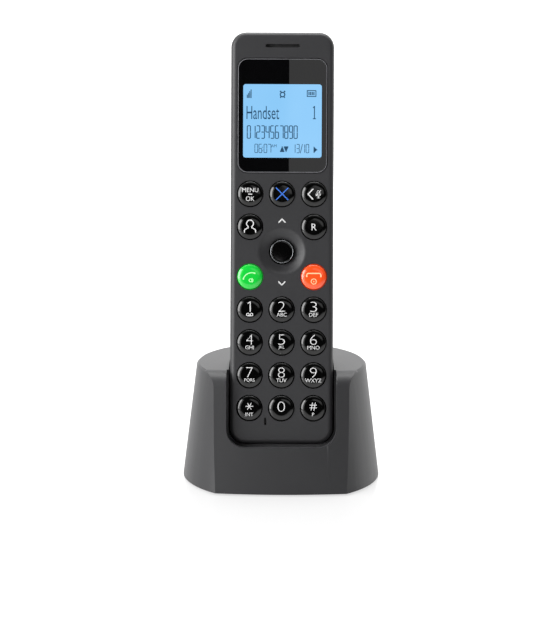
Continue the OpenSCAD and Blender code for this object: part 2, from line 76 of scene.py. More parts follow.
def add_node(tree: bpy.types.NodeTree, kind: str, inputs: dict[str | int, object] | None = None,
             **settings: object) -> bpy.types.Node:
    """Add one shader node with its settings, values and links.

    Args:
        tree: Node tree to add to.
        kind: Blender's name of the node type.
        inputs: Value or output socket for each named or numbered input.
        **settings: Properties of the node itself.

    Returns:
        The new node.
    """
    node = tree.nodes.new(kind)
    for name, value in settings.items():
        setattr(node, name, value)
    for key, value in (inputs or {}).items():
        if isinstance(value, bpy.types.NodeSocket):
            tree.links.new(value, node.inputs[key])
        else:
            node.inputs[key].default_value = value
    return node


def new_material(name: str) -> tuple[bpy.types.Material, bpy.types.NodeTree, bpy.types.NodeSocket]:
    """Start an empty node material.

    Args:
        name: Name of the material.

    Returns:
        The material, its node tree, and the Object coordinates in it.
    """
    material = bpy.data.materials.new(name)
    material.use_nodes = True
    tree = material.node_tree
    tree.nodes.clear()
    coords = add_node(tree, "ShaderNodeTexCoord")
    return material, tree, coords.outputs["Object"]


def two_tones(tree: bpy.types.NodeTree, share: bpy.types.NodeSocket, low: str,
              high: str) -> bpy.types.NodeSocket:
    """Blend two colours by a pattern.

    Args:
        tree: Node tree to add to.
        share: Socket that says how much of the second colour shows.
        low: First colour, in hex.
        high: Second colour, in hex.

    Returns:
        The blended colour.
    """
    blend = add_node(tree, "ShaderNodeMix", {"Factor": share, 6: linear_colour(low), 7: linear_colour(high)},
                     data_type="RGBA")
    return blend.outputs[2]


def close_material(tree: bpy.types.NodeTree, inputs: dict[str, object]) -> None:
    """Add the surface shader and the output to a material.

    Args:
        tree: Node tree to close.
        inputs: Values and links of the Principled shader.
    """
    shader = add_node(tree, "ShaderNodeBsdfPrincipled", inputs)
    add_node(tree, "ShaderNodeOutputMaterial", {"Surface": shader.outputs["BSDF"]})


@dataclass(frozen=True)
class MouldedPlastic:
    """Injection-moulded ABS or rubber: an even fine grain from the spark-eroded mould."""

    name: str
    colour: str
    worn: str
    roughness: float
    grain: float = 0.34
    relief: float = 0.02
    ior: float = 1.53
    sheen: float = 0.0

    def material(self) -> bpy.types.Material:
        """Build the node material.

        Returns:
            Plastic with a bumped grain, slow drifts of tone and a roughness that varies a little.
        """
        material, tree, place = new_material(self.name)
        drift = add_node(tree, "ShaderNodeTexNoise", {"Vector": place, "Scale": 1 / (14 * MM), "Detail": 2.0})
        tone = two_tones(tree, drift.outputs["Fac"], self.colour, self.worn)
        # The grain of such a mould is about 0.1 mm; it is drawn coarser so that it shows.
        grain = add_node(tree, "ShaderNodeTexNoise",
                         {"Vector": place, "Scale": 1 / (self.grain * MM), "Detail": 3.0, "Roughness": 0.6})
        gloss = add_node(tree, "ShaderNodeMapRange", {
            "Value": grain.outputs["Fac"], "To Min": self.roughness - 0.06, "To Max": self.roughness + 0.06})
        bump = add_node(tree, "ShaderNodeBump", {
            "Height": grain.outputs["Fac"], "Strength": 0.5, "Distance": self.relief * MM})
        close_material(tree, {
            "Base Color": tone, "Roughness": gloss.outputs["Result"], "IOR": self.ior,
            "Sheen Weight": self.sheen, "Normal": bump.outputs["Normal"]})
        return material


@dataclass(frozen=True)
class PolishedPlastic:
    """Polycarbonate from a mirror-polished mould: deep gloss with the faintest ripple of flow."""

    name: str
    colour: str
    deep: str
    roughness: float = 0.06
    glow: float = 0.0
    coat: float = 0.6
    dust: float = 0.05
    ripple: float = 0.15

    def material(self) -> bpy.types.Material:
        """Build the node material.

        Returns:
            Gloss plastic whose tone deepens in slow drifts, with a slight ripple and fine dust.
        """
        material, tree, place = new_material(self.name)
        drift = add_node(tree, "ShaderNodeTexNoise", {"Vector": place, "Scale": 1 / (5 * MM), "Detail": 1.0})
        tone = two_tones(tree, drift.outputs["Fac"], self.colour, self.deep)
        dust = add_node(tree, "ShaderNodeTexNoise", {"Vector": place, "Scale": 1 / (0.5 * MM), "Detail": 2.0})
        gloss = add_node(tree, "ShaderNodeMapRange", {
            "Value": dust.outputs["Fac"], "From Min": 0.45, "From Max": 0.8,
            "To Min": self.roughness, "To Max": self.roughness + self.dust})
        ripple = add_node(tree, "ShaderNodeBump", {
            "Height": drift.outputs["Fac"], "Strength": self.ripple, "Distance": 0.02 * MM})
        close_material(tree, {
            "Base Color": tone, "Roughness": gloss.outputs["Result"], "IOR": 1.585,
            "Coat Weight": self.coat, "Coat Roughness": 0.03, "Normal": ripple.outputs["Normal"],
            "Emission Color": tone, "Emission Strength": self.glow})
        return material


@dataclass(frozen=True)
class PlatedMetal:
    """Steel or brass with a plated skin: brushed along one way, brighter on its high lines."""

    name: str
    colour: str
    shade: str
    roughness: float
    line: float = 0.25

    def material(self) -> bpy.types.Material:
        """Build the node material.

        Returns:
            Metal with fine drawn lines in its colour, roughness and relief.
        """
        material, tree, place = new_material(self.name)
        along = add_node(tree, "ShaderNodeMapping", {"Vector": place, "Scale": (1.0, 0.08, 0.08)})
        lines = add_node(tree, "ShaderNodeTexNoise", {
            "Vector": along.outputs["Vector"], "Scale": 1 / (self.line * MM), "Detail": 4.0})
        tone = two_tones(tree, lines.outputs["Fac"], self.colour, self.shade)
        gloss = add_node(tree, "ShaderNodeMapRange", {
            "Value": lines.outputs["Fac"], "To Min": self.roughness * 0.7, "To Max": self.roughness * 1.3})
        bump = add_node(tree, "ShaderNodeBump", {
            "Height": lines.outputs["Fac"], "Strength": 0.2, "Distance": 0.01 * MM})
        close_material(tree, {
            "Base Color": tone, "Metallic": 1.0, "Roughness": gloss.outputs["Result"],
            "Normal": bump.outputs["Normal"]})
        return material


@dataclass(frozen=True)
class ScreenInk:
    """Screen-printed epoxy ink: thin, satin, with the slight mottle of the mesh it went through."""

    name: str
    colour: str
    thin: str
    # Emission of the ink: on the backlit green and orange keys and on the display it is their backlight; on
    # the housing, the base and the black keys it is painted light.
    glow: float = 0.0

    def material(self) -> bpy.types.Material:
        """Build the node material.

        Returns:
            Satin ink with a fine mottle.
        """
        material, tree, place = new_material(self.name)
        mottle = add_node(tree, "ShaderNodeTexNoise", {
            "Vector": place, "Scale": 1 / (0.3 * MM), "Detail": 2.0})
        tone = two_tones(tree, mottle.outputs["Fac"], self.colour, self.thin)
        close_material(tree, {
            "Base Color": tone, "Roughness": 0.38, "IOR": 1.5,
            "Emission Color": tone, "Emission Strength": self.glow})
        return material


@dataclass(frozen=True)
class LitDisplay:
    """Backlit liquid-crystal display: even blue light through a glossy polariser."""

    name: str
    colour: str
    edge: str
    glow: float

    def material(self) -> bpy.types.Material:
        """Build the node material.

        Returns:
            Glowing blue, a little uneven from the light guide's dots, under a clear gloss.
        """
        material, tree, place = new_material(self.name)
        patch = add_node(tree, "ShaderNodeTexNoise", {"Vector": place, "Scale": 1 / (16 * MM), "Detail": 1.0})
        dots = add_node(tree, "ShaderNodeTexVoronoi", {"Vector": place, "Scale": 1 / (0.45 * MM)})
        blend = add_node(tree, "ShaderNodeMath", {
            0: dots.outputs["Distance"], 1: 0.12, 2: patch.outputs["Fac"]}, operation="MULTIPLY_ADD")
        tone = two_tones(tree, blend.outputs["Value"], self.colour, self.edge)
        close_material(tree, {
            "Base Color": linear_colour("#10161c"), "Roughness": 0.07, "IOR": 1.49,
            "Emission Color": tone, "Emission Strength": self.glow})
        return material


@dataclass(frozen=True)
class CircuitBoard:
    """Glass-epoxy board under green solder mask: copper tracks show through as paler lines."""

    name: str
    colour: str
    track: str
    pitch: float = 1.6

    def material(self) -> bpy.types.Material:
        """Build the node material.

        Returns:
            Green mask with raised tracks in steps of the pitch.
        """
        material, tree, place = new_material(self.name)
        tracks = add_node(tree, "ShaderNodeTexBrick", {
            "Vector": place, "Scale": 1 / (self.pitch * 4 * MM), "Mortar Size": 0.06,
            "Color1": (0, 0, 0, 1), "Color2": (0, 0, 0, 1), "Mortar": (1, 1, 1, 1)})
        tone = two_tones(tree, tracks.outputs["Color"], self.colour, self.track)
        bump = add_node(tree, "ShaderNodeBump", {
            "Height": tracks.outputs["Color"], "Strength": 0.3, "Distance": 0.03 * MM})
        close_material(tree, {
            "Base Color": tone, "Roughness": 0.3, "IOR": 1.55, "Normal": bump.outputs["Normal"]})
        return material


@dataclass(frozen=True)
class WovenMesh:
    """Acoustic polyester mesh: a plain weave of black threads, with the tiny holes between them painted
    near-black as shade.
    """

    name: str
    colour: str
    # Colour of the gaps between threads: near-black, painted shade for the dark inside seen through them.
    gap_shade: str
    thread: float = 0.3

    def material(self) -> bpy.types.Material:
        """Build the node material.

        Returns:
            Crossed threads, coarser than the real 0.1 mm so that they show.
        """
        material, tree, place = new_material(self.name)
        warp = add_node(tree, "ShaderNodeTexWave", {"Vector": place, "Scale": 0.31 / (self.thread * MM)},
                        bands_direction="X")
        weft = add_node(tree, "ShaderNodeTexWave", {"Vector": place, "Scale": 0.31 / (self.thread * MM)},
                        bands_direction="Z")
        weave = add_node(tree, "ShaderNodeMath", {0: warp.outputs["Fac"], 1: weft.outputs["Fac"]},
                         operation="MAXIMUM")
        tone = two_tones(tree, weave.outputs["Value"], self.gap_shade, self.colour)
        bump = add_node(tree, "ShaderNodeBump", {
            "Height": weave.outputs["Value"], "Strength": 0.8, "Distance": 0.05 * MM})
        close_material(tree, {
            "Base Color": tone, "Roughness": 0.6, "IOR": 1.57, "Normal": bump.outputs["Normal"]})
        return material


class Dress(Enum):
    """Every finish on the object."""

    BASE_ABS = MouldedPlastic("abs_charcoal_base", "#252527", "#2a2a2c", 0.48)
    HANDSET_ABS = MouldedPlastic("abs_charcoal_handset", "#29292b", "#2e2e30", 0.47, grain=0.3)
    INNER_ABS = MouldedPlastic("abs_black_inner", "#1c1d1f", "#242527", 0.55)
    FOOT_RUBBER = MouldedPlastic("nitrile_rubber", "#161617", "#1f1f20", 0.75, relief=0.04)
    SILICONE = MouldedPlastic("silicone_grey", "#505357", "#5b5e62", 0.6, sheen=0.2)
    NYLON = MouldedPlastic("nylon_moulding", "#1a1b1e", "#222327", 0.5, grain=0.5)
    SPEAKER = MouldedPlastic("glass_filled_nylon", "#33343a", "#3e3f44", 0.5, grain=0.4)
    KEY_BLACK = PolishedPlastic("polycarbonate_black_key", "#010101", "#020202", roughness=0.11, coat=0.0)
    KEY_GREEN = PolishedPlastic("polycarbonate_green_key", "#14c642", "#0cb82a", roughness=0.2, glow=0.22)
    KEY_ORANGE = PolishedPlastic("polycarbonate_orange_key", "#fb5a22", "#f54816", roughness=0.2, glow=0.16)
    LENS_BLACK = PolishedPlastic("acrylic_lens_back_printed", "#030304", "#050506", roughness=0.0,
                                 coat=0.0, dust=0.01, ripple=0.02)
    # The lens's rim is dressed light grey: a painted highlight for the light caught by its bevel.
    LENS_EDGE = MouldedPlastic("acrylic_lens_edge_painted_highlight", "#6c6c70", "#77777b", 0.35, grain=0.1)
    RING = PlatedMetal("chrome_plated_ring", "#8f9194", "#77797c", 0.16)
    STEEL = PlatedMetal("zinc_plated_steel", "#b9bcbf", "#9a9da1", 0.3)
    GOLD = PlatedMetal("gold_flashed_bronze", "#d9bf72", "#bd9f50", 0.25)
    BALLAST = PlatedMetal("rolled_steel", "#85888b", "#6c6f72", 0.42)
    # White and blue ink glow though nothing lights them from behind: painted light that brightens the print.
    INK_WHITE = ScreenInk("epoxy_ink_white_painted_glow", "#dcdcdc", "#cacaca", glow=0.22)
    INK_BLUE = ScreenInk("epoxy_ink_blue_painted_glow", "#3f78d8", "#3566c4", glow=0.3)
    INK_LIME = ScreenInk("epoxy_ink_pale_green", "#b9f5b4", "#a5eca0", glow=0.3)
    INK_PEACH = ScreenInk("epoxy_ink_peach", "#ffc79b", "#ffb98a", glow=0.3)
    LCD_DARK = ScreenInk("lcd_segments_dark", "#123a58", "#174463", glow=0.2)
    LCD_LIT = LitDisplay("lcd_backlit_blue", "#86c6f6", "#92cdf9", 1.0)
    BACKLIGHT = ScreenInk("light_guide_acrylic", "#e8f3fb", "#dfeefa", glow=0.2)
    BOARD = CircuitBoard("fr4_green_mask", "#0f5b2a", "#1f7a3c")
    CHIP = MouldedPlastic("epoxy_moulded_chip", "#161616", "#1e1e1e", 0.5, grain=0.2)
    MESH = WovenMesh("polyester_acoustic_mesh", "#19191a", "#020202")
    CELL = PolishedPlastic("pvc_cell_sleeve", "#2f7d44", "#276d3a", roughness=0.2)


MATERIALS: dict[Dress, bpy.types.Material] = {}


def dressed(obj: Shape, dress: Dress) -> None:
    """Give a piece one finish all over.

    Args:
        obj: The piece, or a CAD node's object.
        dress: Its finish.
    """
    if dress not in MATERIALS:
        MATERIALS[dress] = dress.value.material()
    obj.data.materials.clear()
    obj.data.materials.append(MATERIALS[dress])


def clear_selection() -> None:
    """Leave edit mode and deselect everything."""
    if bpy.context.mode != "OBJECT":
        bpy.ops.object.mode_set(mode="OBJECT")
    bpy.ops.object.select_all(action="DESELECT")


def take(obj: Shape) -> None:
    """Make an object the only one selected, and the active one."""
    clear_selection()
    obj.select_set(True)
    bpy.context.view_layer.objects.active = obj


@contextmanager
def editing(obj: Shape, kind: str = "FACE") -> Iterator[None]:
    """Work on an object in edit mode with nothing selected.

    Args:
        obj: Mesh object to edit.
        kind: What is selected: VERT, EDGE or FACE.
    """
    take(obj)
    bpy.ops.object.mode_set(mode="EDIT")
    bpy.ops.mesh.select_mode(type=kind)
    bpy.ops.mesh.select_all(action="DESELECT")
    yield
    bpy.ops.object.mode_set(mode="OBJECT")


def pick_faces(obj: Shape, test: Callable[[bmesh.types.BMFace], bool]) -> int:
    """Select the faces that pass a test, in edit mode.

    Args:
        obj: Object in edit mode.
        test: What a face has to pass.

    Returns:
        How many faces are selected.
    """
    mesh = bmesh.from_edit_mesh(obj.data)
    for face in mesh.faces:
        face.select_set(bool(test(face)))
    bmesh.update_edit_mesh(obj.data)
    return sum(face.select for face in mesh.faces)


def pick_edges(obj: Shape, test: Callable[[bmesh.types.BMEdge], bool]) -> int:
    """Select the edges that pass a test, in edit mode.

    Args:
        obj: Object in edit mode.
        test: What an edge has to pass.

    Returns:
        How many edges are selected.
    """
    mesh = bmesh.from_edit_mesh(obj.data)
    for edge in mesh.edges:
        edge.select_set(False)
    chosen = [edge for edge in mesh.edges if test(edge)]
    for edge in chosen:
        edge.select_set(True)
    bmesh.update_edit_mesh(obj.data)
    return len(chosen)


def add_modifier(obj: Shape, kind: str, **settings: object) -> None:
    """Add a modifier and apply it.

    Args:
        obj: Object to change.
        kind: Blender's name of the modifier.
        **settings: Its settings.
    """
    take(obj)
    modifier = obj.modifiers.new(kind.title(), kind)
    for name, value in settings.items():
        setattr(modifier, name, value)
    bpy.ops.object.modifier_apply(modifier=modifier.name)


def shaded(obj: Shape, sharp: float) -> None:
    """Shade an object smooth but for the edges above an angle in degrees."""
    take(obj)
    bpy.ops.object.shade_smooth_by_angle(angle=math.radians(sharp))


def smoothed(obj: Shape, sharp: float) -> None:
    """Shade an object smooth but for its sharp edges, and keep its flat faces flat.

    Args:
        obj: Object to shade.
        sharp: Angle in degrees above which an edge stays sharp.
    """
    shaded(obj, sharp)
    add_modifier(obj, "WEIGHTED_NORMAL", keep_sharp=True)


def cut_out(obj: Shape, cutter: Shape) -> None:
    """Cut one shape out of another and remove the cutter."""
    add_modifier(obj, "BOOLEAN", operation="DIFFERENCE", object=cutter, solver="EXACT")
    bpy.data.objects.remove(cutter, do_unlink=True)


def join(shapes: Sequence[Shape]) -> Shape:
    """Join several objects into the first of them.

    Args:
        shapes: Objects to join.

    Returns:
        The joined object.
    """
    take(shapes[0])
    for shape in shapes[1:]:
        shape.select_set(True)
    if len(shapes) > 1:
        bpy.ops.object.join()
    return shapes[0]


def settle(obj: Shape, space: Matrix) -> None:
    """Set a shape into the row frame, with its place in its mesh."""
    obj.matrix_world = space @ obj.matrix_world
    take(obj)
    bpy.ops.object.transform_apply(location=True, rotation=True, scale=True)


def turned(profile: Sequence[Point], sides: int = 96, open_middle: bool = False) -> Shape:
    """Turn a solid about Z by extruding a disc through a row of radii and heights.

    Args:
        profile: Radius and height of each ring; the last radius may be 0.
        sides: Sides of each ring.
        open_middle: True for a profile that closes on itself round a hole.

    Returns:
        The closed solid, round the origin's Z axis.
    """
    radius, height = profile[0]
    clear_selection()
    bpy.ops.mesh.primitive_circle_add(vertices=sides, radius=radius * MM, fill_type="NGON")
    obj = bpy.context.object
    with editing(obj):
        bpy.ops.mesh.select_all(action="SELECT")
        bpy.ops.transform.translate(value=(0, 0, height * MM))
        for new_radius, new_height in profile[1:]:
            bpy.ops.mesh.extrude_region_move(
                TRANSFORM_OT_translate={"value": (0, 0, (new_height - height) * MM)})
            if new_radius == 0:
                bpy.ops.mesh.merge(type="CENTER")
                break
            scale = new_radius / radius
            bpy.ops.transform.resize(value=(scale, scale, 1), center_override=(0, 0, 0))
            radius, height = new_radius, new_height
        if open_middle:
            pick_faces(obj, lambda f: len(f.verts) > 4)
            bpy.ops.mesh.delete(type="FACE")
        bpy.ops.mesh.select_all(action="SELECT")
        bpy.ops.mesh.remove_doubles(threshold=0.0001 * MM)
        bpy.ops.mesh.normals_make_consistent(inside=False)
    return obj


def plate(width: float, length: float, corner: float, low: float, high: float,
          at: Point = (0, 0)) -> Shape:
    """A flat block with round corners.

    Args:
        width: Size along X.
        length: Size along Y.
        corner: Radius of its upright edges.
        low: Lower height.
        high: Upper height.
        at: Its centre.

    Returns:
        The block.
    """
    clear_selection()
    bpy.ops.mesh.primitive_cube_add(size=MM, location=(at[0] * MM, at[1] * MM, (low + high) / 2 * MM),
                                    scale=(width, length, high - low))
    obj = bpy.context.object
    take(obj)
    bpy.ops.object.transform_apply(location=True, rotation=True, scale=True)
    with editing(obj, "EDGE"):
        pick_edges(obj, lambda e: abs(e.verts[0].co.z - e.verts[1].co.z) > 1e-6)
        bpy.ops.mesh.bevel(offset=corner * MM, segments=10, affect="EDGES")
    return obj


def refined_copy(node: str, bevel: float, segments: int = 2, sharp: float = 32.0,
                 first: tuple[Callable[[bmesh.types.BMEdge], bool], float] | None = None) -> Shape:
    """Copy a CAD node, join its loose triangles, and break its sharp edges.

    Args:
        node: Name of the CAD node.
        bevel: Size of the broken edge.
        segments: Facets across the broken edge.
        sharp: Angle in degrees above which an edge is broken.
        first: Test for edges that are rounded before the others, and their size.

    Returns:
        The copy, smooth but for its sharp edges.
    """
    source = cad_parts[node]
    obj = bpy.data.objects.new(node + "_skin", source.data.copy())
    bpy.context.scene.collection.objects.link(obj)
    with editing(obj, "VERT"):
        bpy.ops.mesh.select_all(action="SELECT")
        bpy.ops.mesh.remove_doubles(threshold=0.0005 * MM)
        bpy.ops.mesh.dissolve_limited(angle_limit=math.radians(0.2))
    if first:
        test, size = first
        with editing(obj, "EDGE"):
            count = pick_edges(obj, test)
            bpy.ops.mesh.bevel(offset=size * MM, segments=5, affect="EDGES", clamp_overlap=True)
        log.info("%s: %d edges rounded by %.1f", node, count, size)
    if bevel:
        add_modifier(obj, "BEVEL", width=bevel * MM, segments=segments, limit_method="ANGLE",
                     angle_limit=math.radians(sharp), use_clamp_overlap=True)
    smoothed(obj, sharp)
    return obj


def lettering(text: str, height: float, at: Point, width: float | None = None,
              weight: float = 0.0) -> Shape:
    """Flat lettering centred on a point.

    Args:
        text: What it says.
        height: Height of its capitals or digits.
        at: Its centre.
        width: Overall width, or None for the font's own.
        weight: How much the strokes are thickened.

    Returns:
        The lettering as a flat mesh.
    """
    clear_selection()
    bpy.ops.object.text_add()
    obj = bpy.context.object
    obj.data.body = text
    obj.data.size = height * MM
    obj.data.offset = weight * MM
    obj.data.resolution_u = 4
    bpy.ops.object.convert(target="MESH")
    obj = bpy.context.object
    xs = [v.co.x for v in obj.data.vertices]
    ys = [v.co.y for v in obj.data.vertices]
    tall = height * MM / (max(ys) - min(ys))
    wide = width * MM / (max(xs) - min(xs)) if width else tall
    move = Matrix.Translation((at[0] * MM, at[1] * MM, 0)) @ Matrix.Diagonal((wide, tall, 1, 1))
    obj.matrix_world = move @ Matrix.Translation((-(max(xs) + min(xs)) / 2, -(max(ys) + min(ys)) / 2, 0))
    take(obj)
    bpy.ops.object.transform_apply(location=True, rotation=True, scale=True)
    return obj


def bar(start: Point, end: Point, width: float) -> Shape:
    """A straight flat stroke.

    Args:
        start: Middle of one end.
        end: Middle of the other end.
        width: Width of the stroke.

    Returns:
        The stroke.
    """
    run = Vector(end) - Vector(start)
    middle = (Vector(start) + Vector(end)) / 2
    clear_selection()
    bpy.ops.mesh.primitive_plane_add(
        size=MM, location=(middle.x * MM, middle.y * MM, 0),
        rotation=(0, 0, math.atan2(run.y, run.x)), scale=(1, 1, 1))
    obj = bpy.context.object
    obj.scale = (run.length, width, 1)
    take(obj)
    bpy.ops.object.transform_apply(location=True, rotation=True, scale=True)
    return obj


def arc(centre: Point, radius: float, width: float, start: float = 0.0, sweep: float = 360.0) -> Shape:
    """A flat curved stroke.

    Args:
        centre: Centre of the arc.
        radius: Radius of the stroke's middle line.
        width: Width of the stroke.
        start: Where it begins, in degrees from +X.
        sweep: How far it goes round, anticlockwise.

    Returns:
        The stroke.
    """
    clear_selection()
    inner = radius - width / 2
    bpy.ops.mesh.primitive_circle_add(vertices=72, radius=inner * MM, fill_type="NOTHING")
    obj = bpy.context.object
    with editing(obj, "EDGE"):
        bpy.ops.mesh.select_all(action="SELECT")
        bpy.ops.mesh.extrude_edges_move()
        scale = (radius + width / 2) / inner
        bpy.ops.transform.resize(value=(scale, scale, 1), center_override=(0, 0, 0))
        bpy.ops.mesh.select_mode(type="FACE")

        def outside(face: bmesh.types.BMFace) -> bool:
            """True for a face that the sweep doesn't reach."""
            middle = face.calc_center_median()
            return (math.degrees(math.atan2(middle.y, middle.x)) - start) % 360 > sweep

        if pick_faces(obj, outside):
            bpy.ops.mesh.delete(type="FACE")
        bpy.ops.mesh.select_all(action="SELECT")
        bpy.ops.transform.translate(value=(centre[0] * MM, centre[1] * MM, 0))
    return obj


def printed(shapes: Sequence[Shape], surface: Callable[[float, float], float], thick: float = 0.03,
            cuts: int = 1) -> Shape:
    """Lay flat shapes on a surface as one print.

    Args:
        shapes: Flat shapes at height 0.
        surface: Height of the surface at a place.
        thick: How far the print stands above the surface.
        cuts: How often each edge is divided, so that the print follows the surface.

    Returns:
        The print.
    """
    obj = join(shapes)
    with editing(obj, "FACE"):
        bpy.ops.mesh.select_all(action="SELECT")
        bpy.ops.mesh.remove_doubles(threshold=0.002 * MM)
        if cuts:
            bpy.ops.mesh.quads_convert_to_tris()
            bpy.ops.mesh.subdivide(number_cuts=cuts)
        if pick_faces(obj, lambda f: f.normal.z < 0):
            bpy.ops.mesh.flip_normals()
    for vertex in obj.data.vertices:
        vertex.co.z = (surface(vertex.co.x / MM, vertex.co.y / MM) - 0.01) * MM
    add_modifier(obj, "SOLIDIFY", thickness=(thick + 0.01) * MM, offset=1.0)
    return obj


def belongs(obj: Shape, name: str, body: str, slot: str, dress: Dress, *nodes: str) -> None:
    """Name and dress a finished piece and tie it to its body.

    Args:
        obj: The piece, in the row frame.
        name: Name of the piece.
        body: CAD body that it rides on.
        slot: Material slot of the record that it stands for; not used.
        dress: Its finish.
        *nodes: CAD nodes that it replaces.
    """
    obj.name = name
    obj.data.name = name
    dressed(obj, dress)
    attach(obj, body)
    if nodes:
        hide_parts(*nodes)


@dataclass
class HandsetSpace:
    """The handset's own space, found from where its lens stands in the row frame."""

    lean: float = 11.0
    lens_bottom: float = 114.85
    lens_thickness: float = 1.2

    def __post_init__(self) -> None:
        """Work out the matrix from handset space to the row frame."""
        low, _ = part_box("display_lens")
        sine, cosine = math.sin(math.radians(self.lean)), math.cos(math.radians(self.lean))
        y = low[1] - self.lens_bottom * MM * sine
        z = low[2] - self.lens_bottom * MM * cosine + self.lens_thickness * MM * sine
        self.matrix = Matrix.Translation((0, y, z)) @ Matrix.Rotation(math.radians(90 - self.lean), 4, "X")
        self.inverse = self.matrix.inverted()

    def box(self, node: str) -> tuple[Vector, Vector]:
        """Find a CAD node's box in handset space.

        Args:
            node: Name of the node.

        Returns:
            Its lowest and highest corners in millimetres.
        """
        points = [self.inverse @ v.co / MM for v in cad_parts[node].data.vertices]
        low = Vector([min(p[i] for p in points) for i in range(3)])
        high = Vector([max(p[i] for p in points) for i in range(3)])
        return low, high


class KeyKind(Enum):
    """What a key cap is made of and marked with."""

    DIGIT = (Dress.KEY_BLACK, Dress.INK_WHITE, "key_black")
    CROSS = (Dress.KEY_BLACK, Dress.INK_BLUE, "key_black")
    TALK = (Dress.KEY_GREEN, Dress.INK_LIME, "key_green")
    END = (Dress.KEY_ORANGE, Dress.INK_PEACH, "key_orange")


